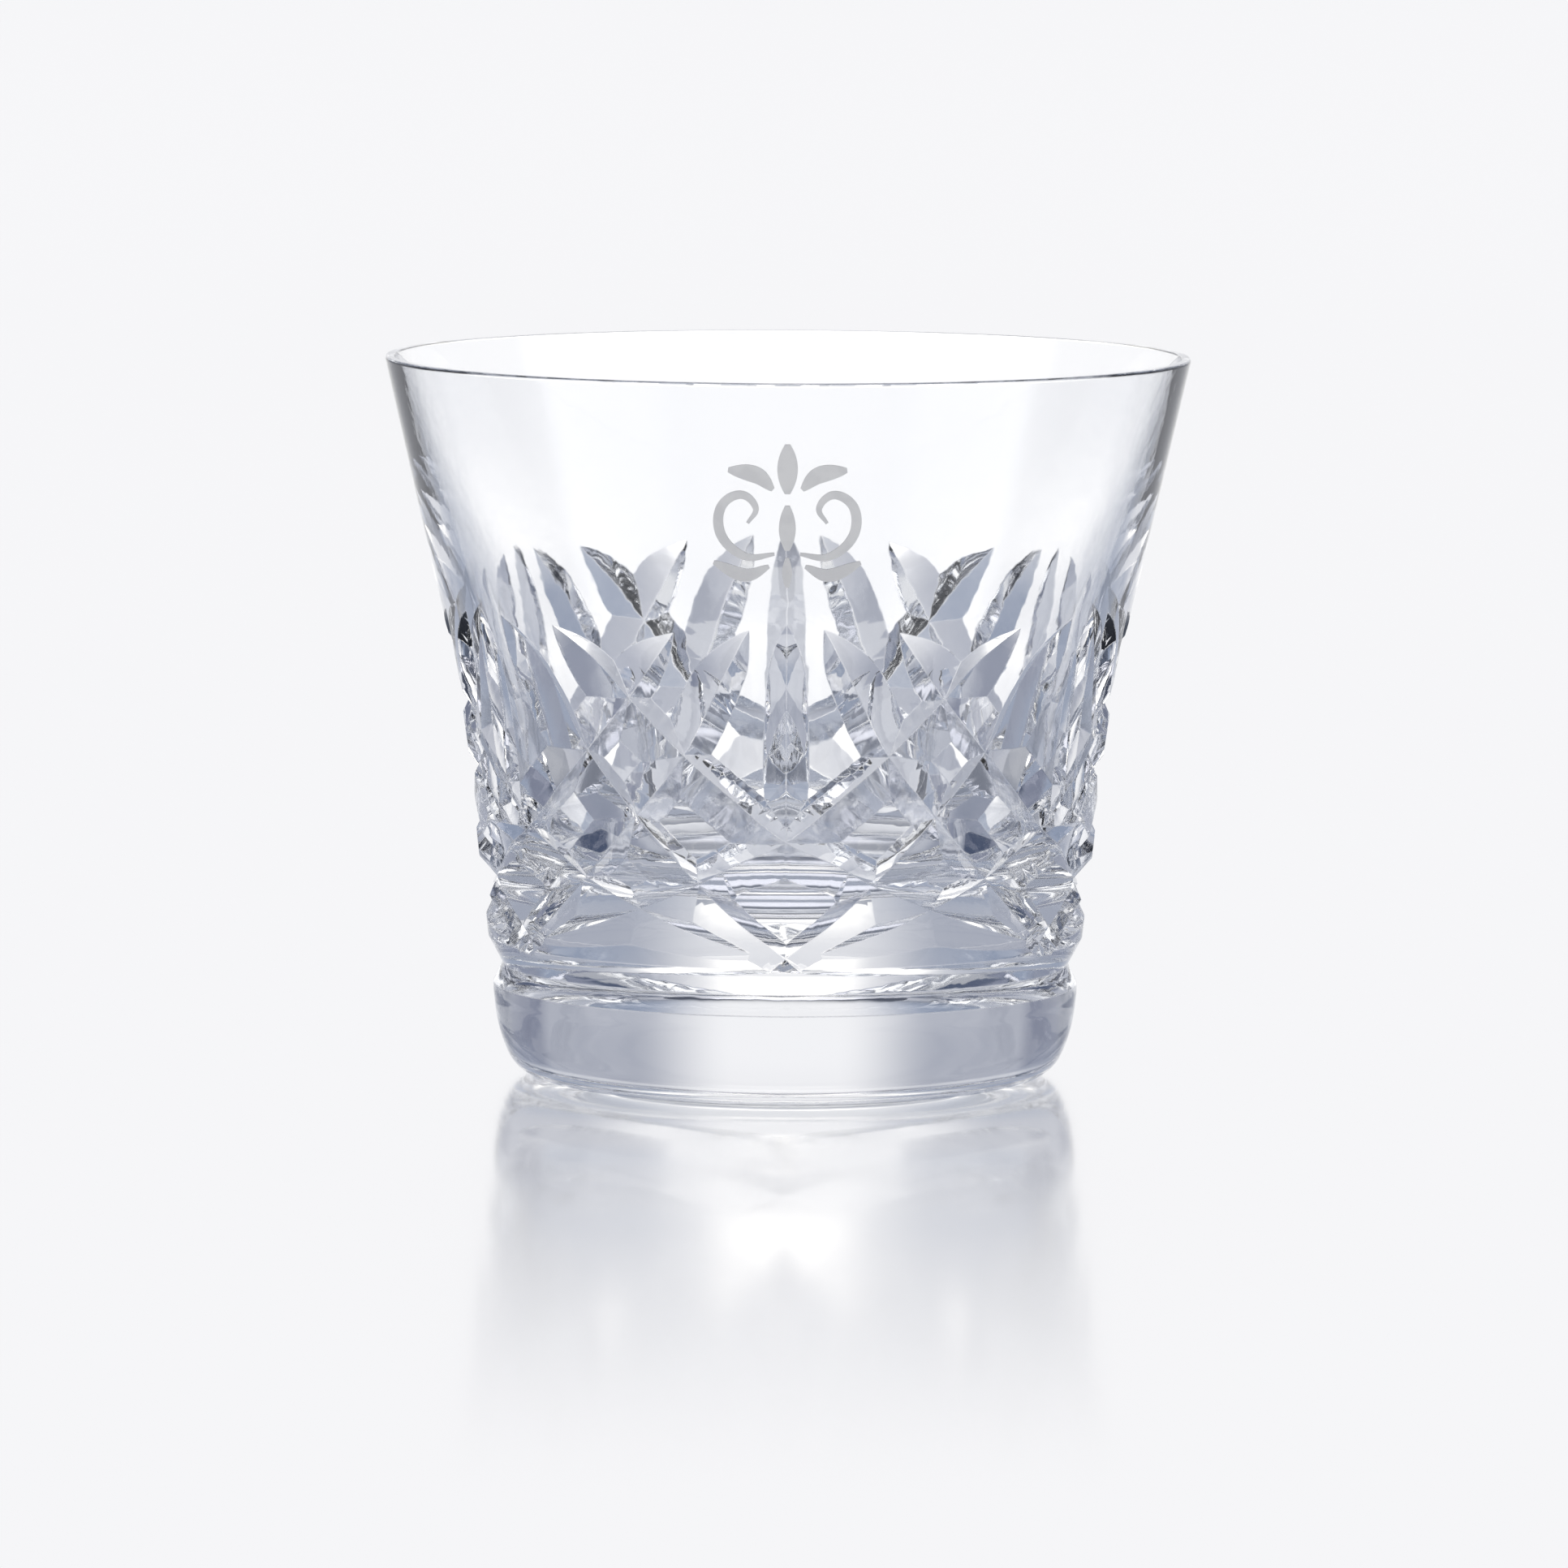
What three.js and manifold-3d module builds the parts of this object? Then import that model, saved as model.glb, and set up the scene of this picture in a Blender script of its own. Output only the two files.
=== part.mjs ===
// Heavy-based cut-crystal whiskey tumbler with a fired enamel flourish.
// Millimetres, +Z up, origin at the middle of the base, front towards -Y.
import * as THREE from "three";
import { ConvexGeometry } from "three/addons/geometries/ConvexGeometry.js";
import { mergeVertices } from "three/addons/utils/BufferGeometryUtils.js";
import Module from "manifold-3d";

const wasm = await Module();
wasm.setup();

// ---- Driving dimensions ----

const LATHE_SEGMENTS = 60;
const REPEATS = 6; // the cut pattern comes round this many times
const PITCH = 360 / REPEATS;

// Outside of the blank before it is cut, as [radius, height], from the middle of the base to the rim.
const OUTER_PROFILE = [
  [0.0, 0.6],
  [14.0, 0.45],
  [24.0, 0.12],
  [25.6, 0.0],
  [28.0, 0.0],
  [29.0, 0.25],
  [30.3, 0.85],
  [31.3, 1.8],
  [32.1, 3.3],
  [32.75, 5.2],
  [33.2, 7.33],
  [33.48, 9.7],
  [33.48, 10.7],
  [32.45, 13.0],
  [34.1, 16.1],
  [34.3, 18.0],
  [35.35, 27.0],
  [36.25, 36.0],
  [37.1, 42.0],
  [37.68, 46.0],
  [39.49, 53.77],
  [46.02, 82.25],
];
const RING_EDGE = 4; // the profile's point at the outer edge of the resting ring

// The ground lip and the inside, as [radius, height], from the rim down to the middle of the floor.
const INNER_PROFILE = [
  [45.85, 82.6],
  [45.1, 82.6],
  [44.9, 82.3],
  [40.7, 68.5],
  [36.4, 55.0],
  [34.6, 49.0],
  [32.2, 40.0],
  [30.6, 33.0],
  [29.0, 27.0],
  [27.6, 24.8],
  [25.4, 22.6],
  [21.5, 21.3],
  [14.0, 20.7],
  [0.0, 20.5],
];

// Mitre cuts with one V section, each a list of [angle in degrees, height, depth] along its valley.
// The cuts that fall to the right are a hair deeper, so their valleys run on through every crossing.
const FLANK = 1.33; // half-width of a cut over its depth
const WIDE_FLANK = 1.67; // the same below a low cut, where it opens onto the plain band
const WIDE_BELOW = 27.0; // the height under which the lower flank is wide
const CUT_LEAN = 0.12; // how much a cut's section leans down, as the blank's wall does
const CUT_RISE = 1.6; // how far a cutter stands out of the blank
const MERGE_DISTANCE = 1e-4; // vertices closer than this are one
const MIRRORED_LESS = 0.09; // how much shallower the left-leaning cuts are
const LONG_CUT = [
  [-42.6, 55.05, -0.68],
  [-41.5, 54.3, 0.0],
  [-40.5, 53.55, 0.57],
  [-39.4, 52.8, 1.05],
  [-37.8, 51.7, 1.64],
  [-36.2, 50.65, 2.06],
  [-34.2, 49.2, 2.35],
  [-30.0, 46.2, 2.47],
  [-19.3, 39.8, 2.47],
  [-10.0, 35.0, 2.43],
  [0.0, 30.3, 2.4],
  [10.0, 27.6, 2.25],
  [17.2, 25.3, 2.25],
  [30.0, 22.2, 2.17],
  [40.0, 20.1, 1.5],
  [50.0, 18.4, 0.75],
  [60.0, 16.7, -0.3],
];
const SHORT_CUT = [
  [-54.8, 55.65, -0.68],
  [-54.0, 54.8, 0.0],
  [-53.2, 53.95, 0.57],
  [-52.4, 53.1, 1.05],
  [-51.3, 51.8, 1.64],
  [-50.1, 50.5, 2.06],
  [-48.5, 48.8, 2.35],
  [-46.5, 46.4, 2.47],
  [-40.7, 40.1, 2.47],
  [-30.0, 32.8, 2.4],
  [-17.2, 25.3, 2.1],
  [-9.0, 21.0, 1.58],
  [0.0, 17.2, 1.12],
  [3.2, 15.6, 0.15],
];
const UPRIGHT_CUT = [
  [0.0, 56.2, -0.45],
  [0.0, 55.4, 0.0],
  [0.0, 54.2, 0.57],
  [0.0, 52.6, 1.11],
  [0.0, 50.0, 1.62],
  [0.0, 45.0, 1.92],
  [0.0, 37.0, 2.0],
  [0.0, 34.0, 1.65],
  [0.0, 32.3, 1.27],
  [0.0, 30.8, 0.6],
];

// The fired enamel motif on the front.
const MOTIF_HEIGHT = 68.0;
const ENAMEL_GAP = 0.03;
const ENAMEL_THICKNESS = 0.12;
const STROKE_TIP = 0.09; // half-width of a stroke at its very ends
const STROKE_FULLNESS = 0.8; // under 1, a stroke keeps its width for longer
const POINTS_PER_KNOT = 4; // outline steps for each point of a stroke's centre line

// ---- Shared helpers ----

const toSolid = (geometry) => {
  const bare = new THREE.BufferGeometry();
  const flat = geometry.index ? geometry.toNonIndexed() : geometry;
  bare.setAttribute("position", flat.getAttribute("position"));
  const merged = mergeVertices(bare, MERGE_DISTANCE);
  const mesh = new wasm.Mesh({
    numProp: 3,
    vertProperties: merged.getAttribute("position").array,
    triVerts: new Uint32Array(merged.index.array),
  });
  return new wasm.Manifold(mesh);
};

const toGeometry = (solid) => {
  const mesh = solid.getMesh();
  const geometry = new THREE.BufferGeometry();
  geometry.setAttribute("position", new THREE.BufferAttribute(mesh.vertProperties, 3));
  geometry.setIndex(new THREE.BufferAttribute(mesh.triVerts, 1));
  return geometry;
};

// Radius of the blank's outside at a height, above the resting ring.
const blankRadius = (z) => {
  const wall = OUTER_PROFILE.slice(RING_EDGE);
  const above = Math.max(1, wall.findIndex((point) => point[1] >= z));
  const [r0, z0] = wall[above - 1];
  const [r1, z1] = wall[above];
  return THREE.MathUtils.mapLinear(z, z0, z1, r0, r1);
};

// A point at an angle (0 at the front, growing to the right), a radius and a height.
const polar = (degrees, radius, z) => {
  const angle = THREE.MathUtils.degToRad(degrees);
  return new THREE.Vector3(radius * Math.sin(angle), -radius * Math.cos(angle), z);
};

// ---- Glass ----

const blank = () => {
  const points = [...OUTER_PROFILE, ...INNER_PROFILE].map(([r, z]) => new THREE.Vector2(r, z));
  const lathe = new THREE.LatheGeometry(points, LATHE_SEGMENTS);
  lathe.rotateX(Math.PI / 2);
  return toSolid(lathe);
};

// The V section of a cut at one station: its valley, and the two edges standing out of the blank.
const sectionOf = (station, heading, mirror) => {
  const [degrees, z, depth] = station;
  const surface = blankRadius(z);
  const outward = polar(degrees, 1, -CUT_LEAN).normalize();
  const valley = polar(degrees, surface - depth, z);
  const across = new THREE.Vector3().crossVectors(outward, heading).normalize();
  const top = Math.max(depth, 0) + CUT_RISE;
  const lift = outward.clone().multiplyScalar(top);
  const wide = across.clone().multiplyScalar(top * FLANK);
  const under = across.clone().multiplyScalar(top * (z < WIDE_BELOW ? WIDE_FLANK : FLANK));
  const upper = valley.clone().add(lift).add(mirror ? wide.clone().negate() : wide);
  const lower = valley.clone().add(lift).add(mirror ? under : under.clone().negate());
  return [valley, upper, lower];
};

// One cutter: wedges from station to station, joined.
const cutter = (stations, mirror = false) => {
  const path = stations.map(([degrees, z, depth]) =>
    mirror ? [-degrees, z, depth - MIRRORED_LESS] : [degrees, z, depth],
  );
  const spine = path.map(([degrees, z]) => polar(degrees, blankRadius(z), z));
  const sections = path.map((station, i) => {
    const before = spine[Math.max(i - 1, 0)];
    const after = spine[Math.min(i + 1, spine.length - 1)];
    return sectionOf(station, after.clone().sub(before).normalize(), mirror);
  });
  const wedges = sections
    .slice(1)
    .map((section, i) => toSolid(new ConvexGeometry([...sections[i], ...section])));
  return wasm.Manifold.union(wedges);
};

const cutGlass = () => {
  const once = [
    cutter(LONG_CUT),
    cutter(SHORT_CUT),
    cutter(LONG_CUT, true),
    cutter(SHORT_CUT, true),
    cutter(UPRIGHT_CUT),
  ];
  const around = [];
  for (let k = 0; k < REPEATS; k += 1) {
    around.push(...once.map((tool) => tool.rotate([0, 0, k * PITCH])));
  }
  return blank().subtract(wasm.Manifold.union(around));
};

// ---- Enamel motif ----

// Outline of a tapering stroke along a centre line, given as [x, y] points about the motif's middle.
const strokeShape = (points, widest, mirror) => {
  const side = mirror ? -1 : 1;
  const line = new THREE.SplineCurve(points.map(([x, y]) => new THREE.Vector2(x * side, y)));
  const steps = POINTS_PER_KNOT * points.length;
  const left = [];
  const right = [];
  for (let i = 0; i <= steps; i += 1) {
    const t = i / steps;
    const middle = line.getPointAt(t);
    const heading = line.getTangentAt(t);
    const swell = Math.sin(Math.PI * (0.04 + 0.92 * t)) ** STROKE_FULLNESS;
    const half = STROKE_TIP + (widest / 2) * swell;
    left.push(new THREE.Vector2(middle.x - heading.y * half, middle.y + heading.x * half));
    right.push(new THREE.Vector2(middle.x + heading.y * half, middle.y - heading.x * half));
  }
  return new THREE.Shape([...left, ...right.reverse()]);
};

// Lays a flat outline onto the front of the glass as a thin solid.
const enamel = (shape) => {
  const slab = new THREE.ExtrudeGeometry(shape, { depth: ENAMEL_THICKNESS, bevelEnabled: false });
  const position = slab.getAttribute("position");
  for (let i = 0; i < position.count; i += 1) {
    const z = MOTIF_HEIGHT + position.getY(i);
    const radius = blankRadius(z) + ENAMEL_GAP + position.getZ(i);
    const degrees = THREE.MathUtils.radToDeg(position.getX(i) / blankRadius(z));
    const wrapped = polar(degrees, radius, z);
    position.setXYZ(i, wrapped.x, wrapped.y, wrapped.z);
  }
  return toGeometry(toSolid(slab));
};

const MOTIF_STROKES = [
  ["motif_bud", [[0, 2.2], [0, 4.6], [0, 7.8]], 2.1, false],
  ["motif_drop", [[0, 0.9], [0, -1.4], [0, -4.2]], 1.7, false],
  ["motif_tail", [[0, -5.0], [0, -6.6], [0, -8.4]], 0.9, false],
  [
    "motif_scroll",
    [[1.4, -4.6], [4.6, -4.9], [7.3, -2.6], [7.4, 0.6], [5.2, 2.1], [3.5, 0.6], [4.4, -1.1]],
    0.95,
    true,
  ],
  ["motif_leaf_high", [[1.6, 2.7], [3.4, 4.3], [6.6, 4.9]], 1.7, true],
  ["motif_leaf_low", [[2.0, -6.0], [4.6, -7.0], [8.2, -5.6]], 1.3, true],
];

// ---- Assembly ----

const glass = new THREE.MeshStandardMaterial({
  name: "crystal",
  color: 0xf4f8fb,
  roughness: 0.03,
  transparent: true,
  opacity: 0.32,
});
const enamelGrey = new THREE.MeshStandardMaterial({ name: "enamel", color: 0xbebebe, roughness: 0.5 });

const tumbler = new THREE.Group();
tumbler.name = "whiskey_tumbler";

const add = (name, geometry, material) => {
  const mesh = new THREE.Mesh(geometry, material);
  mesh.name = name;
  tumbler.add(mesh);
};

add("tumbler_body", toGeometry(cutGlass()), glass);
for (const [name, points, widest, paired] of MOTIF_STROKES) {
  if (paired) {
    add(name + "_left", enamel(strokeShape(points, widest, true)), enamelGrey);
    add(name + "_right", enamel(strokeShape(points, widest, false)), enamelGrey);
  } else {
    add(name, enamel(strokeShape(points, widest, false)), enamelGrey);
  }
}

export default tumbler;
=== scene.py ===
"""Looks of a heavy-based cut-crystal whiskey tumbler with a fired enamel flourish, in a pale studio.

Sizes of the pieces are in millimetres in their dataclasses, and metres once they reach a mesh.
"""

from __future__ import annotations

import logging
import math
from collections.abc import Iterable, Sequence
from dataclasses import dataclass, field
from enum import Enum
from typing import Any

import bmesh
import bpy
from mathutils import Matrix, Vector

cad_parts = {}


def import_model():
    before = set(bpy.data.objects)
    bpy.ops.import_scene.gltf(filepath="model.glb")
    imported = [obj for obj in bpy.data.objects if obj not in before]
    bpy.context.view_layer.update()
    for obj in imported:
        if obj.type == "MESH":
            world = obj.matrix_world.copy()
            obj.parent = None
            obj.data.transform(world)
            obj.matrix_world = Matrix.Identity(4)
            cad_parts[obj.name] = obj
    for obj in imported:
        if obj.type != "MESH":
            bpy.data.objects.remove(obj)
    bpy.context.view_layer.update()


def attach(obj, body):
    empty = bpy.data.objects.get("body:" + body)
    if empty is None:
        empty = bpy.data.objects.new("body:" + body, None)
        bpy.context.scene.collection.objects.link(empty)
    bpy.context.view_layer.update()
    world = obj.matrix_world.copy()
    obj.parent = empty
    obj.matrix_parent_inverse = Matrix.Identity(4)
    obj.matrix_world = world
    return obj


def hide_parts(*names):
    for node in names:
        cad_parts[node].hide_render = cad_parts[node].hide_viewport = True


LOG = logging.getLogger("tumbler")
MM = 0.001
INSIDE = "inside"

Point = tuple[float, ...]
Span = tuple[float, float]


# ---------------------------------------------------------------- shader graph


class Value:
    """One output of a node graph, which Python's operators turn into Math nodes."""

    def __init__(self, graph: Graph, socket: bpy.types.NodeSocket) -> None:
        """Wraps a socket of a graph."""
        self.graph = graph
        self.socket = socket

    def __add__(self, other: Operand) -> Value:
        """Sum."""
        return self.graph.math("ADD", self, other)

    def __radd__(self, other: Operand) -> Value:
        """Sum with a number on the left."""
        return self.graph.math("ADD", other, self)

    def __sub__(self, other: Operand) -> Value:
        """Difference."""
        return self.graph.math("SUBTRACT", self, other)

    def __rsub__(self, other: Operand) -> Value:
        """Difference with a number on the left."""
        return self.graph.math("SUBTRACT", other, self)

    def __mul__(self, other: Operand) -> Value:
        """Product."""
        return self.graph.math("MULTIPLY", self, other)

    def __rmul__(self, other: Operand) -> Value:
        """Product with a number on the left."""
        return self.graph.math("MULTIPLY", other, self)

    def __pow__(self, other: Operand) -> Value:
        """Power."""
        return self.graph.math("POWER", self, other)

    def __abs__(self) -> Value:
        """Size without the sign."""
        return self.graph.math("ABSOLUTE", self)


Operand = Value | float


class Graph:
    """A node tree that is filled from Python expressions."""

    def __init__(self, tree: bpy.types.NodeTree) -> None:
        """Empties the tree and keeps it.

        Args:
            tree: the node tree of a material or a world.
        """
        self.tree = tree
        self.tree.nodes.clear()

    def node(
        self,
        kind: str,
        settings: dict[str, Any] | None = None,
        sockets: dict[str | int, Any] | None = None,
    ) -> bpy.types.Node:
        """Adds a node of any type.

        Args:
            kind: the node's type, such as "ShaderNodeMath".
            settings: its properties, which are set first.
            sockets: values or links for its inputs, by name or number.

        Returns:
            The node.
        """
        made = self.tree.nodes.new(kind)
        for name, value in (settings or {}).items():
            setattr(made, name, value)
        for key, value in (sockets or {}).items():
            target = made.inputs[key]
            if isinstance(value, Value):
                self.tree.links.new(value.socket, target)
            elif isinstance(value, bpy.types.NodeSocket):
                self.tree.links.new(value, target)
            else:
                target.default_value = value
        return made

    def value(self, kind: str, output: str | int, settings: dict[str, Any] | None = None,
              sockets: dict[str | int, Any] | None = None) -> Value:
        """Adds a node and wraps one of its outputs."""
        return Value(self, self.node(kind, settings, sockets).outputs[output])

    def math(self, operation: str, *operands: Operand) -> Value:
        """Adds a Math node on values and numbers."""
        sockets = dict(enumerate(operands))
        return self.value("ShaderNodeMath", 0, {"operation": operation}, sockets)

    def step(self, value: Operand, low: float, high: float) -> Value:
        """Rises smoothly from 0 at low to 1 at high."""
        sockets = {"Value": value, "From Min": low, "From Max": high}
        return self.value("ShaderNodeMapRange", 0, {"interpolation_type": "SMOOTHSTEP"}, sockets)

    def noise(self, place: bpy.types.NodeSocket, scale: float, detail: float) -> Value:
        """Adds a noise pattern on a set of coordinates."""
        sockets = {"Vector": place, "Scale": scale, "Detail": detail}
        return self.value("ShaderNodeTexNoise", "Fac", None, sockets)

    def mix(self, factor: Operand, first: Any, second: Any) -> Value:
        """Mixes two colours, which are Values or four numbers."""
        sockets = {0: factor, 6: first, 7: second}
        return self.value("ShaderNodeMix", 2, {"data_type": "RGBA"}, sockets)


# -------------------------------------------------------------------- finishes


@dataclass(frozen=True)
class CrystalFinish:
    """Polished lead-free crystal: clear, faintly cool, with the ripple that polishing leaves."""

    name: str = "crystal_polished"
    tint: Point = (0.985, 0.99, 1.0, 1.0)
    refraction: float = 1.545
    inside_roughness: float = 0.02
    edge_radius: float = 0.0002
    edge_samples: int = 4
    ripple_scale: float = 260.0
    ripple_detail: float = 2.0
    ripple_strength: float = 0.3
    ripple_depth: float = 0.00004

    def material(self) -> bpy.types.Material:
        """Builds the glass material.

        Returns:
            The material, with rounded edges and a ripple on its normal, and a softer inside.
        """
        made = bpy.data.materials.new(self.name)
        made.use_nodes = True
        graph = Graph(made.node_tree)
        place = graph.node("ShaderNodeTexCoord").outputs["Object"]
        ripple = graph.noise(place, self.ripple_scale, self.ripple_detail)
        edges = graph.node("ShaderNodeBevel", {"samples": self.edge_samples}, {"Radius": self.edge_radius})
        bump = graph.node(
            "ShaderNodeBump",
            None,
            {
                "Height": ripple,
                "Strength": self.ripple_strength,
                "Distance": self.ripple_depth,
                "Normal": edges.outputs["Normal"],
            },
        )
        inside = graph.value("ShaderNodeAttribute", "Fac", {"attribute_name": INSIDE})
        shader = graph.node(
            "ShaderNodeBsdfPrincipled",
            None,
            {
                "Base Color": self.tint,
                "Roughness": inside * self.inside_roughness,
                "IOR": self.refraction,
                "Transmission Weight": 1.0,
                "Normal": bump.outputs["Normal"],
            },
        )
        graph.node("ShaderNodeOutputMaterial", None, {"Surface": shader.outputs["BSDF"]})
        return made


@dataclass(frozen=True)
class EnamelFinish:
    """Satin grey enamel, fired onto the glass: very slightly mottled and grained."""

    name: str = "enamel_satin_grey"
    light: Point = (0.74, 0.74, 0.74, 1.0)
    dark: Point = (0.68, 0.68, 0.685, 1.0)
    roughness: float = 0.5
    roughness_spread: float = 0.2
    grain_scale: float = 2600.0
    grain_detail: float = 2.0
    grain_strength: float = 0.25
    grain_depth: float = 0.00002
    mottle_scale: float = 420.0
    mottle_detail: float = 3.0
    mottle_span: Span = (0.35, 0.65)

    def material(self) -> bpy.types.Material:
        """Builds the enamel material.

        Returns:
            The material, with mottled colour and a fine grain.
        """
        made = bpy.data.materials.new(self.name)
        made.use_nodes = True
        graph = Graph(made.node_tree)
        place = graph.node("ShaderNodeTexCoord").outputs["Object"]
        mottle = graph.noise(place, self.mottle_scale, self.mottle_detail)
        grain = graph.noise(place, self.grain_scale, self.grain_detail)
        bump = graph.node(
            "ShaderNodeBump",
            None,
            {"Height": grain, "Strength": self.grain_strength, "Distance": self.grain_depth},
        )
        shader = graph.node(
            "ShaderNodeBsdfPrincipled",
            None,
            {
                "Base Color": graph.mix(graph.step(mottle, *self.mottle_span), self.dark, self.light),
                "Roughness": self.roughness + (grain - 0.5) * self.roughness_spread,
                "Normal": bump.outputs["Normal"],
            },
        )
        graph.node("ShaderNodeOutputMaterial", None, {"Surface": shader.outputs["BSDF"]})
        return made


# ------------------------------------------------------------- shared geometry


def through(points: Sequence[Point], spacing: float) -> list[Point]:
    """Resamples a smooth curve that passes through points.

    Args:
        points: the points, each of any number of coordinates.
        spacing: the wanted distance between samples, on the first two coordinates.

    Returns:
        The samples, with every given point among them.
    """
    samples: list[Point] = []
    padded = [points[0], *points, points[-1]]
    for before, start, end, after in zip(padded, padded[1:], padded[2:], padded[3:]):
        length = math.dist(start[:2], end[:2])
        steps = max(1, round(length / spacing))
        lead = length / max(math.dist(before[:2], end[:2]), 1e-9)
        trail = length / max(math.dist(start[:2], after[:2]), 1e-9)
        for step in range(steps):
            t = step / steps
            blend = (
                2 * t**3 - 3 * t**2 + 1,
                t**3 - 2 * t**2 + t,
                3 * t**2 - 2 * t**3,
                t**3 - t**2,
            )
            samples.append(
                tuple(
                    blend[0] * s + blend[1] * (e - b) * lead + blend[2] * e + blend[3] * (a - s) * trail
                    for b, s, e, a in zip(before, start, end, after)
                )
            )
    samples.append(tuple(points[-1]))
    return samples


def polar(degrees: float, radius: float, height: float) -> Vector:
    """A point at an angle, 0 at the front and growing to the right, in the units of its radius."""
    angle = math.radians(degrees)
    return Vector((radius * math.sin(angle), -radius * math.cos(angle), height))


def mesh_object(name: str, bm: bmesh.types.BMesh) -> bpy.types.Object:
    """Turns a bmesh into a linked object at the origin and frees the bmesh."""
    mesh = bpy.data.meshes.new(name)
    bm.to_mesh(mesh)
    bm.free()
    made = bpy.data.objects.new(name, mesh)
    bpy.context.scene.collection.objects.link(made)
    return made


def dress(piece: bpy.types.Object, material: bpy.types.Material) -> None:
    """Gives a piece its one material and its body."""
    piece.data.materials.clear()
    piece.data.materials.append(material)
    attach(piece, "root")


# ----------------------------------------------------------------------- glass


@dataclass
class Tumbler:
    """The glass itself: a turned blank with a band of mitre cuts.

    Profiles are (radius, height); cuts are (angle in degrees, height, depth) along the valley.
    Spacings and slacks are in millimetres, the gaps for merging in metres.
    """

    turns: int = 240
    repeats: int = 6
    base: Sequence[Point] = ((0.0, 0.6), (14.0, 0.45), (24.0, 0.12), (25.6, 0.0))
    foot: Sequence[Point] = (
        (28.0, 0.0),
        (29.0, 0.25),
        (30.3, 0.85),
        (31.3, 1.8),
        (32.1, 3.3),
        (32.75, 5.2),
        (33.2, 7.33),
        (33.48, 9.7),
    )
    waist: Sequence[Point] = ((33.48, 10.7), (32.45, 13.0))
    wall: Sequence[Point] = (
        (34.1, 16.1),
        (34.3, 18.0),
        (35.35, 27.0),
        (36.25, 36.0),
        (37.1, 42.0),
        (37.68, 46.0),
        (39.49, 53.77),
        (42.7, 67.75),
        (46.02, 82.25),
    )
    lip: Sequence[Point] = ((45.98, 82.47), (45.85, 82.6), (45.1, 82.6), (44.96, 82.5))
    inside: Sequence[Point] = (
        (44.9, 82.3),
        (40.7, 68.5),
        (36.4, 55.0),
        (34.6, 49.0),
        (32.2, 40.0),
        (30.6, 33.0),
        (29.0, 27.0),
        (27.6, 24.8),
        (25.4, 22.6),
        (21.5, 21.3),
        (14.0, 20.7),
        (0.0, 20.5),
    )
    long_cut: Sequence[Point] = (
        (-42.6, 55.05, -0.68),
        (-41.5, 54.3, 0.0),
        (-40.5, 53.55, 0.57),
        (-39.4, 52.8, 1.05),
        (-37.8, 51.7, 1.64),
        (-36.2, 50.65, 2.06),
        (-34.2, 49.2, 2.35),
        (-30.0, 46.2, 2.47),
        (-19.3, 39.8, 2.47),
        (-10.0, 35.0, 2.43),
        (0.0, 30.3, 2.4),
        (10.0, 27.6, 2.25),
        (17.2, 25.3, 2.25),
        (30.0, 22.2, 2.17),
        (40.0, 20.1, 1.5),
        (50.0, 18.4, 0.75),
        (60.0, 16.7, -0.3),
    )
    short_cut: Sequence[Point] = (
        (-54.8, 55.65, -0.68),
        (-54.0, 54.8, 0.0),
        (-53.2, 53.95, 0.57),
        (-52.4, 53.1, 1.05),
        (-51.3, 51.8, 1.64),
        (-50.1, 50.5, 2.06),
        (-48.5, 48.8, 2.35),
        (-46.5, 46.4, 2.47),
        (-40.7, 40.1, 2.47),
        (-30.0, 32.8, 2.4),
        (-17.2, 25.3, 2.1),
        (-9.0, 21.0, 1.58),
        (0.0, 17.2, 1.12),
        (3.2, 15.6, 0.15),
    )
    upright_cut: Sequence[Point] = (
        (0.0, 56.2, -0.45),
        (0.0, 55.4, 0.0),
        (0.0, 54.2, 0.57),
        (0.0, 52.6, 1.11),
        (0.0, 50.0, 1.62),
        (0.0, 45.0, 1.92),
        (0.0, 37.0, 2.0),
        (0.0, 34.0, 1.65),
        (0.0, 32.3, 1.27),
        (0.0, 30.8, 0.6),
    )
    flank: float = 1.33
    wide_flank: float = 1.67
    wide_below: float = 27.0
    lean: float = 0.12
    rise: float = 1.6
    mirrored_less: float = 0.09
    cut_spacing: float = 1.6
    angle_weight: float = 0.65
    base_spacing: float = 2.0
    foot_spacing: float = 0.6
    wall_spacing: float = 1.0
    inside_spacing: float = 1.2
    inside_slack: float = 0.3
    bottom_slack: float = 0.05
    height_slack: float = 0.01
    pole_gap: float = 1e-7
    seam_gap: float = 2e-6
    sliver_gap: float = 1e-6
    sharp_degrees: float = 14.0
    outline: list[Point] = field(default_factory=list)

    def radius_at(self, height: float) -> float:
        """Radius of the uncut wall at a height, in millimetres."""
        if not self.outline:
            self.outline = through(self.wall, self.wall_spacing)
        rows = self.outline
        for (r0, z0), (r1, z1) in zip(rows, rows[1:]):
            if height <= z1 or (r1, z1) == rows[-1]:
                return r0 + (r1 - r0) * (height - z0) / (z1 - z0)
        return rows[-1][0]

    def profile(self) -> list[Point]:
        """The whole section, from the middle of the base over the lip to the middle of the floor."""
        return [
            *through(self.base, self.base_spacing),
            *through(self.foot, self.foot_spacing),
            *self.waist,
            *through(self.wall, self.wall_spacing),
            *self.lip,
            *through(self.inside, self.inside_spacing),
        ]

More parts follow.
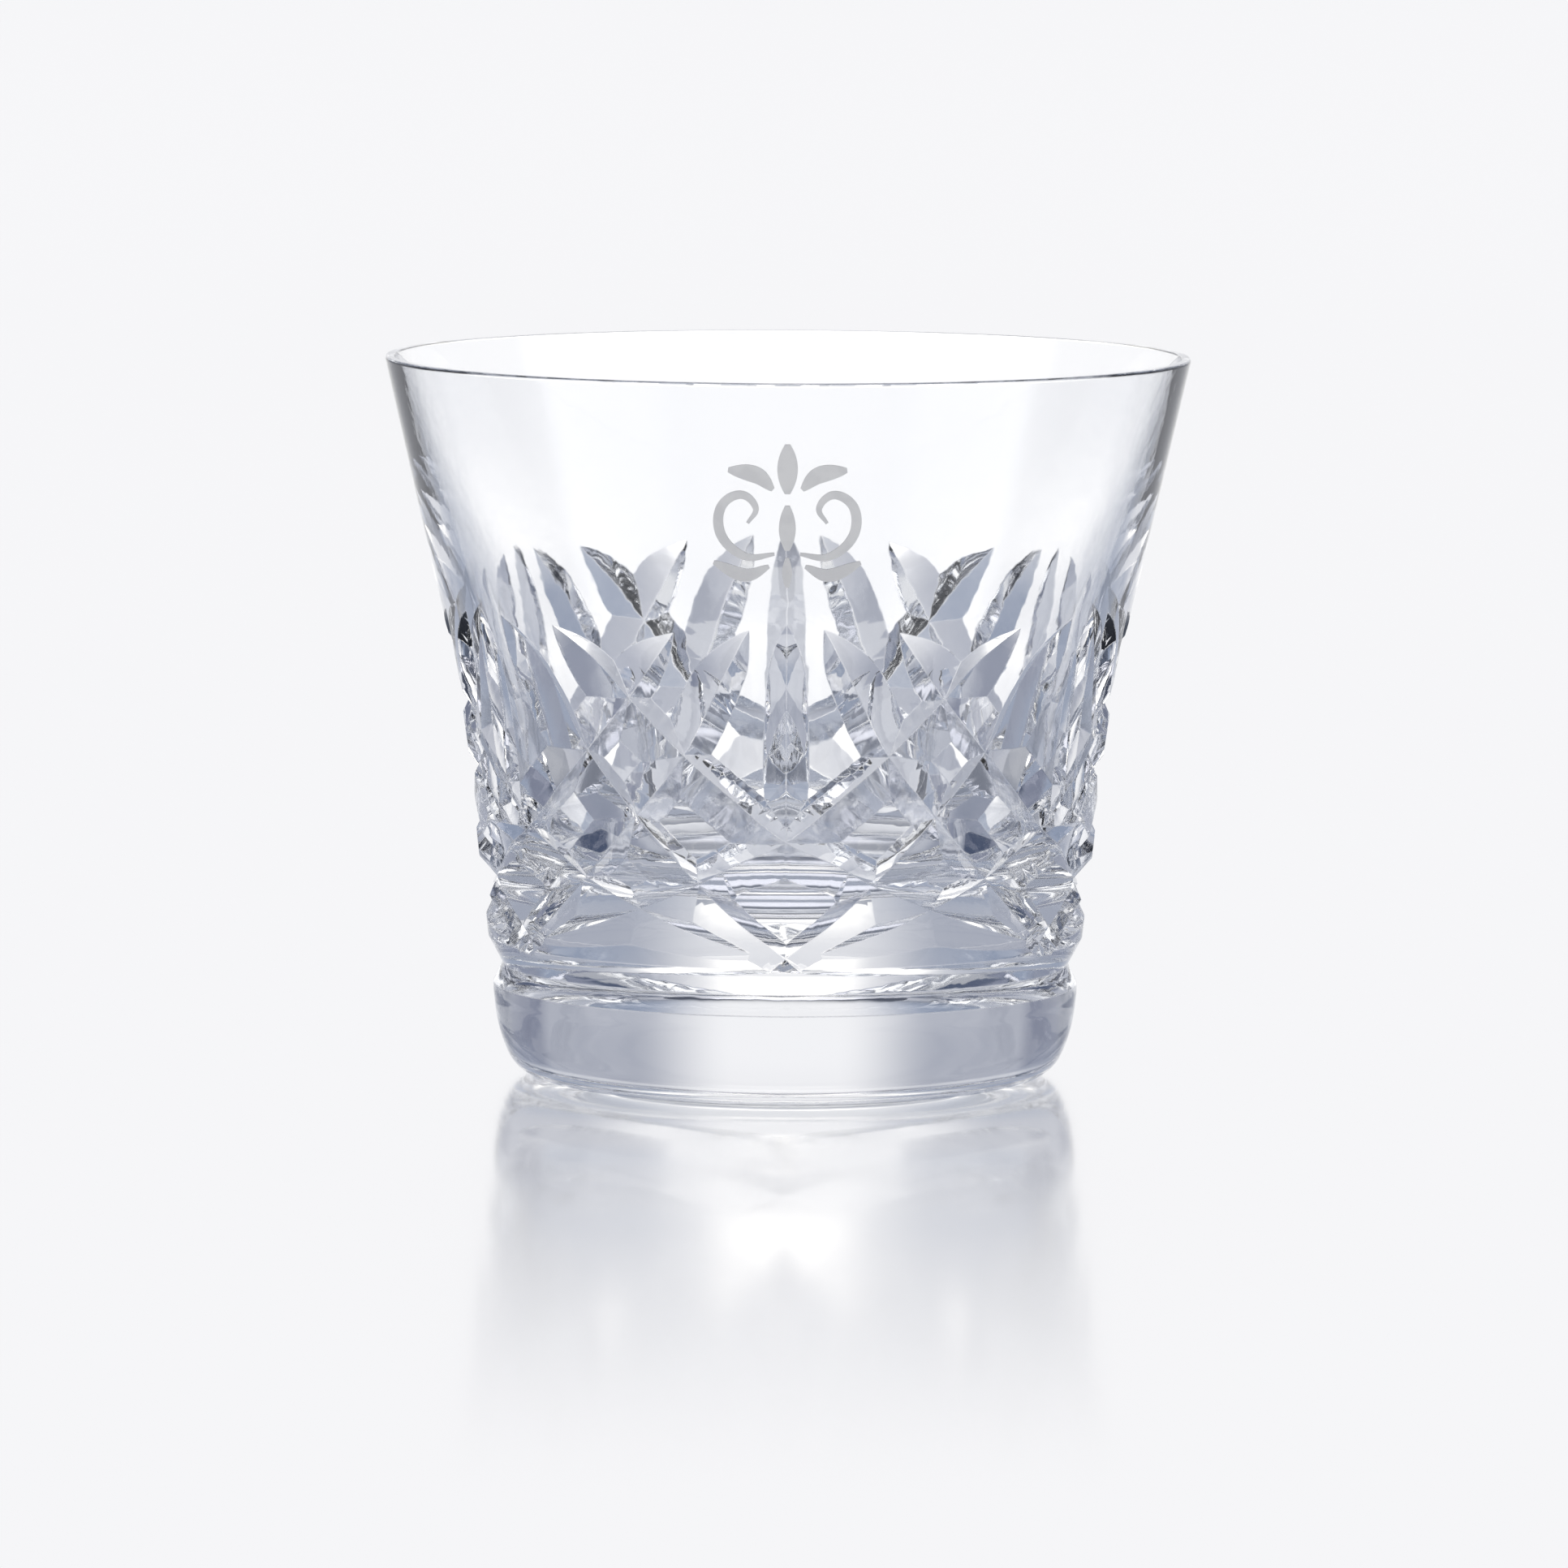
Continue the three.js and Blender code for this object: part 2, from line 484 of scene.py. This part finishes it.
    def blank(self) -> bpy.types.Object:
        """Turns the section into the uncut glass.

        Returns:
            The blank, as one closed mesh.
        """
        bm = bmesh.new()
        corners = [bm.verts.new((r * MM, 0.0, z * MM)) for r, z in self.profile()]
        line = [bm.edges.new(pair) for pair in zip(corners, corners[1:])]
        bmesh.ops.spin(
            bm,
            geom=[*corners, *line],
            cent=(0, 0, 0),
            axis=(0, 0, 1),
            dvec=(0, 0, 0),
            angle=math.tau,
            steps=self.turns,
            use_merge=True,
            use_normal_flip=False,
            use_duplicate=False,
        )
        bmesh.ops.remove_doubles(bm, verts=bm.verts, dist=self.pole_gap)
        bmesh.ops.recalc_face_normals(bm, faces=bm.faces)
        return mesh_object("tumbler_blank", bm)

    def section(self, station: Point, heading: Vector, mirror: bool) -> list[Vector]:
        """Corners of a cutter at one station: the valley and the two edges outside the glass.

        Args:
            station: angle, height and depth of the valley.
            heading: direction of the cut along the wall.
            mirror: whether the cut leans to the left.

        Returns:
            Three points, in metres.
        """
        degrees, height, depth = station
        outward = polar(degrees, 1.0, -self.lean).normalized()
        valley = polar(degrees, self.radius_at(height) - depth, height)
        across = outward.cross(heading).normalized() * (-1 if mirror else 1)
        top = max(depth, 0.0) + self.rise
        under = self.wide_flank if height < self.wide_below else self.flank
        upper = valley + outward * top + across * top * self.flank
        lower = valley + outward * top - across * top * under
        return [point * MM for point in (valley, upper, lower)]

    def cutter(self, name: str, cut: Sequence[Point], mirror: bool) -> bpy.types.Object:
        """Sweeps a V along a cut by extruding one triangle from station to station.

        Args:
            name: the object's name.
            cut: the stations of the cut.
            mirror: whether to lean it to the left, and make it a little shallower.

        Returns:
            The cutter as a closed mesh.
        """
        side = -1 if mirror else 1
        less = self.mirrored_less if mirror else 0.0
        weight = self.angle_weight
        fine = through([(a * weight, z, d) for a, z, d in cut], self.cut_spacing)
        path = [(side * a / weight, z, d - less) for a, z, d in fine]
        spine = [polar(a, self.radius_at(z), z) for a, z, _ in path]
        bm = bmesh.new()
        front: bmesh.types.BMFace | None = None
        for i, station in enumerate(path):
            heading = spine[min(i + 1, len(spine) - 1)] - spine[max(i - 1, 0)]
            corners = self.section(station, heading.normalized(), mirror)
            if front is None:
                front = bm.faces.new([bm.verts.new(corner) for corner in corners])
                continue
            grown = bmesh.ops.extrude_face_region(bm, geom=[front])["geom"]
            if i > 1:
                bmesh.ops.delete(bm, geom=[front], context="FACES_ONLY")
            front = next(item for item in grown if isinstance(item, bmesh.types.BMFace))
            for vert, corner in zip(front.verts, corners):
                vert.co = corner
        bmesh.ops.triangulate(bm, faces=bm.faces)
        bmesh.ops.recalc_face_normals(bm, faces=bm.faces)
        return mesh_object(name, bm)

    def cutters(self) -> list[bpy.types.Object]:
        """Every cutter, all the way round."""
        kinds = (
            ("long_right", self.long_cut, False),
            ("short_right", self.short_cut, False),
            ("long_left", self.long_cut, True),
            ("short_left", self.short_cut, True),
            ("upright", self.upright_cut, False),
        )
        made = []
        for name, cut, mirror in kinds:
            for k in range(self.repeats):
                tool = self.cutter(f"{name}_{k}", cut, mirror)
                tool.data.transform(Matrix.Rotation(math.tau * k / self.repeats, 4, "Z"))
                made.append(tool)
        return made

    def mark_inside(self, bm: bmesh.types.BMesh) -> None:
        """Stores 1 on the vertices of the bowl's inside and 0 on the rest."""
        layer = bm.verts.layers.float.new(INSIDE)
        bowl = [(z, r) for r, z in reversed(through(self.inside, self.inside_spacing))]
        bottom = bowl[0][0] - self.bottom_slack
        for vert in bm.verts:
            radius, height = math.hypot(vert.co.x, vert.co.y) / MM, vert.co.z / MM
            edge = next((r for z, r in bowl if z >= height - self.height_slack), 0.0)
            vert[layer] = float(bottom < height and radius < edge + self.inside_slack)

    def build(self, material: bpy.types.Material) -> bpy.types.Object:
        """Cuts the blank and dresses it.

        Args:
            material: the crystal.

        Returns:
            The finished glass.
        """
        blank = self.blank()
        tools = self.cutters()
        for tool in tools:
            cut = blank.modifiers.new(tool.name, "BOOLEAN")
            cut.operation = "DIFFERENCE"
            cut.solver = "MANIFOLD"
            cut.object = tool
        view = bpy.context.evaluated_depsgraph_get()
        mesh = bpy.data.meshes.new_from_object(blank.evaluated_get(view))
        for spare in (blank, *tools):
            bpy.data.objects.remove(spare)
        bm = bmesh.new()
        bm.from_mesh(mesh)
        bpy.data.meshes.remove(mesh)
        bmesh.ops.remove_doubles(bm, verts=bm.verts, dist=self.seam_gap)
        bmesh.ops.dissolve_degenerate(bm, edges=bm.edges, dist=self.sliver_gap)
        self.mark_inside(bm)
        glass = mesh_object("tumbler_glass", bm)
        glass.data.shade_smooth()
        glass.data.set_sharp_from_angle(angle=math.radians(self.sharp_degrees))
        dress(glass, material)
        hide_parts("tumbler_body")
        return glass


# ---------------------------------------------------------------------- enamel


class Side(Enum):
    """Which side of the motif's middle a stroke lies on."""

    LEFT = -1
    MIDDLE = 0
    RIGHT = 1


@dataclass
class Flourish:
    """The fired enamel motif: tapering strokes laid onto the front of the glass."""

    tumbler: Tumbler
    height: float = 68.0
    gap: float = 0.03
    thickness: float = 0.12
    tip: float = 0.09
    fullness: float = 0.8
    swell_start: float = 0.04
    swell_length: float = 0.92
    spacing: float = 0.22
    across: int = 4
    sharp_degrees: float = 40.0
    strokes: Sequence[tuple[str, Sequence[Point], float, bool]] = (
        ("motif_bud", ((0, 2.2), (0, 4.6), (0, 7.8)), 2.1, False),
        ("motif_drop", ((0, 0.9), (0, -1.4), (0, -4.2)), 1.7, False),
        ("motif_tail", ((0, -5.0), (0, -6.6), (0, -8.4)), 0.9, False),
        (
            "motif_scroll",
            ((1.4, -4.6), (4.6, -4.9), (7.3, -2.6), (7.4, 0.6), (5.2, 2.1), (3.5, 0.6), (4.4, -1.1)),
            0.95,
            True,
        ),
        ("motif_leaf_high", ((1.6, 2.7), (3.4, 4.3), (6.6, 4.9)), 1.7, True),
        ("motif_leaf_low", ((2.0, -6.0), (4.6, -7.0), (8.2, -5.6)), 1.3, True),
    )

    def stroke(self, name: str, line: Sequence[Point], widest: float, side: Side) -> bpy.types.Object:
        """Makes one island of enamel.

        Args:
            name: the piece's name.
            line: the middle of the stroke, in millimetres about the motif's middle.
            widest: its greatest width.
            side: the side it lies on; the left one is a mirror image.

        Returns:
            The island, wrapped onto the wall and given its thickness.
        """
        turn = -1 if side is Side.LEFT else 1
        middle = through([(x * turn, y) for x, y in line], self.spacing)
        last = len(middle) - 1
        bm = bmesh.new()
        bmesh.ops.create_grid(bm, x_segments=last, y_segments=self.across, size=1.0)
        for vert in bm.verts:
            t = (vert.co.x + 1) / 2
            i = round(t * last)
            ahead, behind = middle[min(i + 1, last)], middle[max(i - 1, 0)]
            heading = Vector((ahead[0] - behind[0], ahead[1] - behind[1])).normalized()
            swell = math.sin(math.pi * (self.swell_start + self.swell_length * t)) ** self.fullness
            half = vert.co.y * (self.tip + widest / 2 * swell)
            x = middle[i][0] - heading.y * half
            z = self.height + middle[i][1] + heading.x * half
            wall = self.tumbler.radius_at(z)
            vert.co = polar(math.degrees(x / wall), wall + self.gap, z) * MM
        bmesh.ops.recalc_face_normals(bm, faces=bm.faces)
        outward = sum((face.normal.dot(face.calc_center_median()) for face in bm.faces), 0.0)
        if outward < 0:
            bmesh.ops.reverse_faces(bm, faces=bm.faces)
        bmesh.ops.solidify(bm, geom=bm.faces, thickness=-self.thickness * MM)
        bmesh.ops.recalc_face_normals(bm, faces=bm.faces)
        return mesh_object(name + "_enamel", bm)

    def build(self, material: bpy.types.Material) -> list[bpy.types.Object]:
        """Makes and dresses every island.

        Args:
            material: the enamel.

        Returns:
            The islands.
        """
        made = []
        for name, line, widest, paired in self.strokes:
            sides = (Side.LEFT, Side.RIGHT) if paired else (Side.MIDDLE,)
            for side in sides:
                node = name if side is Side.MIDDLE else f"{name}_{side.name.lower()}"
                piece = self.stroke(node, line, widest, side)
                piece.data.shade_smooth()
                piece.data.set_sharp_from_angle(angle=math.radians(self.sharp_degrees))
                dress(piece, material)
                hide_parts(node)
                made.append(piece)
        return made


# ---------------------------------------------------------------------- studio


@dataclass
class Studio:
    """Pale floor, soft surroundings, lights and the camera.

    Distances are in metres. The spans in `surroundings` are of a direction's parts, from 0 to 1.
    """

    paper: Point = (0.921, 0.921, 0.939, 1.0)
    panel: Point = (0.921, 0.921, 0.939, 1.0)
    panel_heart: Point = (2.6, 2.5, 2.3, 1.0)
    room: Point = (0.40, 0.42, 0.49, 1.0)
    room_high: Point = (0.28, 0.33, 0.44, 1.0)
    strip: Point = (0.22, 0.24, 0.32, 1.0)
    flag: Point = (0.06, 0.08, 0.14, 1.0)
    side_box: Point = (1.6, 1.6, 1.6, 1.0)
    side_box_high: Point = (0.5, 0.52, 0.58, 1.0)
    front: Point = (0.85, 0.85, 0.85, 1.0)
    dark: Point = (0.05, 0.06, 0.09, 1.0)
    top_box: Point = (1.2, 1.2, 1.3, 1.0)
    panel_edge: Span = (0.12, 0.40)
    panel_side: Span = (0.0, 0.3)
    heart_bottom: Span = (0.2, 0.3)
    heart_top: Span = (0.4, 0.46)
    heart_edge: Span = (0.06, 0.22)
    room_top: Span = (0.22, 0.36)
    strip_edge: Span = (0.68, 0.76)
    flag_edge: Span = (0.88, 0.94)
    box_top: Span = (0.2, 0.4)
    box_side: Span = (0.0, 0.15)
    front_edge: Span = (0.65, 0.85)
    dark_bottom: Span = (0.6, 0.8)
    top_box_edge: Span = (0.9, 0.96)
    first_mirror: float = 2.5
    # Painted shade on the floor round the foot, fading over the floor_shade radii into a painted glow
    # brighter than the paper; only rays that are not from the camera see them.
    floor_painted_shade: Point = (0.38, 0.41, 0.49, 1.0)
    floor_painted_glow: Point = (1.22, 1.22, 1.22, 1.0)
    floor_shade: Span = (0.12, 0.26)
    floor_reach: float = 6.0
    floor_gloss: float = 0.7
    floor_fading: Span = (-0.30, -0.02)
    floor_roughness: float = 0.12
    camera_place: Point = (-0.00023, -1.3, 0.1704)
    camera_target: Point = (-0.00023, 0.0, 0.0334)
    camera_roll: float = 0.28
    camera_clip: Span = (0.05, 50.0)
    sensor: float = 36.0
    lens: float = 261.7
    glass_bounces: int = 24
    glossy_bounces: int = 12
    transparent_bounces: int = 16

    def floor(self) -> bpy.types.Object:
        """A glowing pale sheet whose soft reflection dies away towards the front.

        The camera sees it as plain paper; light that reaches the glass from it carries a painted shade
        round the foot and a painted glow, brighter than the paper, farther out.

        Returns:
            The floor.
        """
        bm = bmesh.new()
        bmesh.ops.create_grid(bm, x_segments=1, y_segments=1, size=self.floor_reach)
        made = mesh_object("floor", bm)
        material = bpy.data.materials.new("floor_paper")
        material.use_nodes = True
        graph = Graph(material.node_tree)
        place = graph.node("ShaderNodeTexCoord").outputs["Object"]
        split = graph.node("ShaderNodeSeparateXYZ", None, {0: place})
        x, y = (Value(graph, split.outputs[i]) for i in range(2))
        radius = (x * x + y * y) ** 0.5
        # Painted shade round the foot, giving way to a painted brighter glow farther out.
        shaded = graph.mix(graph.step(radius, *self.floor_shade), self.floor_painted_shade, self.floor_painted_glow)
        direct = graph.node("ShaderNodeLightPath").outputs["Is Camera Ray"]
        colour = graph.mix(Value(graph, direct), shaded, self.paper)
        glow = graph.node("ShaderNodeEmission", None, {"Color": colour, "Strength": 1.0})
        gloss = graph.node(
            "ShaderNodeBsdfGlossy", None, {"Color": (1, 1, 1, 1), "Roughness": self.floor_roughness}
        )
        fading = graph.step(y, *self.floor_fading) * self.floor_gloss
        both = graph.node("ShaderNodeMixShader", None, {0: fading, 1: glow.outputs[0], 2: gloss.outputs[0]})
        graph.node("ShaderNodeOutputMaterial", None, {"Surface": both.outputs[0]})
        made.data.materials.append(material)
        return made

    def surroundings(self) -> None:
        """A lit panel behind, a dim room beside it, flags, soft boxes in front and one overhead.

        The camera and the floor's own sheen see plain paper instead, so the background stays even.
        Light sampling is off, because it can't tell those rays from the rest.
        """
        world = bpy.data.worlds.new("studio")
        world.use_nodes = True
        world.cycles.sampling_method = "NONE"
        bpy.context.scene.world = world
        graph = Graph(world.node_tree)
        place = graph.node("ShaderNodeTexCoord").outputs["Generated"]
        split = graph.node("ShaderNodeSeparateXYZ", None, {0: place})
        x, y, z = (Value(graph, split.outputs[i]) for i in range(3))
        across, forward = abs(x), y * -1.0
        low = 1 - graph.step(z, *self.room_top)
        room = graph.mix(low, self.room_high, self.room)
        strip = graph.step(across, *self.strip_edge) * (1 - graph.step(across, *self.flag_edge))
        colour = graph.mix(strip, room, self.strip)
        colour = graph.mix(graph.step(across, *self.flag_edge), colour, self.flag)
        boxes = graph.mix(graph.step(z, *self.box_top), self.side_box, self.side_box_high)
        colour = graph.mix(graph.step(forward, *self.box_side), colour, boxes)
        colour = graph.mix(graph.step(forward, *self.front_edge), colour, self.front)
        heart = graph.step(z, *self.heart_bottom) * (1 - graph.step(z, *self.heart_top))
        heart = heart * (1 - graph.step(across, *self.heart_edge))
        lit = graph.mix(heart, self.panel, self.panel_heart)
        behind = (1 - graph.step(across, *self.panel_edge)) * graph.step(y, *self.panel_side)
        colour = graph.mix(behind, colour, lit)
        colour = graph.mix(graph.step(z, *self.dark_bottom), colour, self.dark)
        colour = graph.mix(graph.step(z, *self.top_box_edge), colour, self.top_box)
        studio = graph.node("ShaderNodeBackground", None, {"Color": colour, "Strength": 1.0})
        plain = graph.node("ShaderNodeBackground", None, {"Color": self.paper, "Strength": 1.0})
        light = graph.node("ShaderNodeLightPath").outputs
        direct, glossy, sharp, bounce = (
            Value(graph, light[name])
            for name in ("Is Camera Ray", "Is Glossy Ray", "Is Singular Ray", "Ray Depth")
        )
        sheen = glossy * (1 - sharp) * graph.math("LESS_THAN", bounce, self.first_mirror)
        both = graph.node(
            "ShaderNodeMixShader", None, {0: direct + sheen, 1: studio.outputs[0], 2: plain.outputs[0]}
        )
        graph.node("ShaderNodeOutputWorld", None, {"Surface": both.outputs[0]})

    def camera(self) -> None:
        """A long lens, a little above the tumbler."""
        data = bpy.data.cameras.new("camera")
        data.lens = self.lens
        data.sensor_width = self.sensor
        data.clip_start, data.clip_end = self.camera_clip
        made = bpy.data.objects.new("camera", data)
        bpy.context.scene.collection.objects.link(made)
        place = Vector(self.camera_place)
        aim = (Vector(self.camera_target) - place).to_track_quat("-Z", "Y").to_matrix().to_4x4()
        roll = Matrix.Rotation(math.radians(self.camera_roll), 4, "Z")
        made.matrix_world = Matrix.Translation(place) @ aim @ roll
        bpy.context.scene.camera = made

    def tracing(self) -> None:
        """Lets light pass the many faces of cut glass, and keeps whites as they are."""
        scene = bpy.context.scene
        scene.view_settings.view_transform = "Standard"
        scene.cycles.max_bounces = self.glass_bounces
        scene.cycles.transmission_bounces = self.glass_bounces
        scene.cycles.glossy_bounces = self.glossy_bounces
        scene.cycles.transparent_max_bounces = self.transparent_bounces
        scene.cycles.use_denoising = True

    def build(self) -> None:
        """Sets up everything around the tumbler."""
        self.floor()
        self.surroundings()
        self.camera()
        self.tracing()


# ------------------------------------------------------------------------ main


def report(pieces: Iterable[bpy.types.Object]) -> None:
    """Logs what each piece is made of."""
    for piece in pieces:
        LOG.info("%s: %d faces", piece.name, len(piece.data.polygons))


def corners(box: Any) -> list[list[float]]:
    """A box as plain lists of numbers."""
    return [[float(number) for number in corner] for corner in box]


def main() -> None:
    """Builds the tumbler, its motif and the studio."""
    logging.basicConfig(level=logging.INFO, format="%(message)s")
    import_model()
    tumbler = Tumbler()
    report([tumbler.build(CrystalFinish().material())])
    report(Flourish(tumbler).build(EnamelFinish().material()))
    Studio().build()


if __name__ == "__main__":
    main()
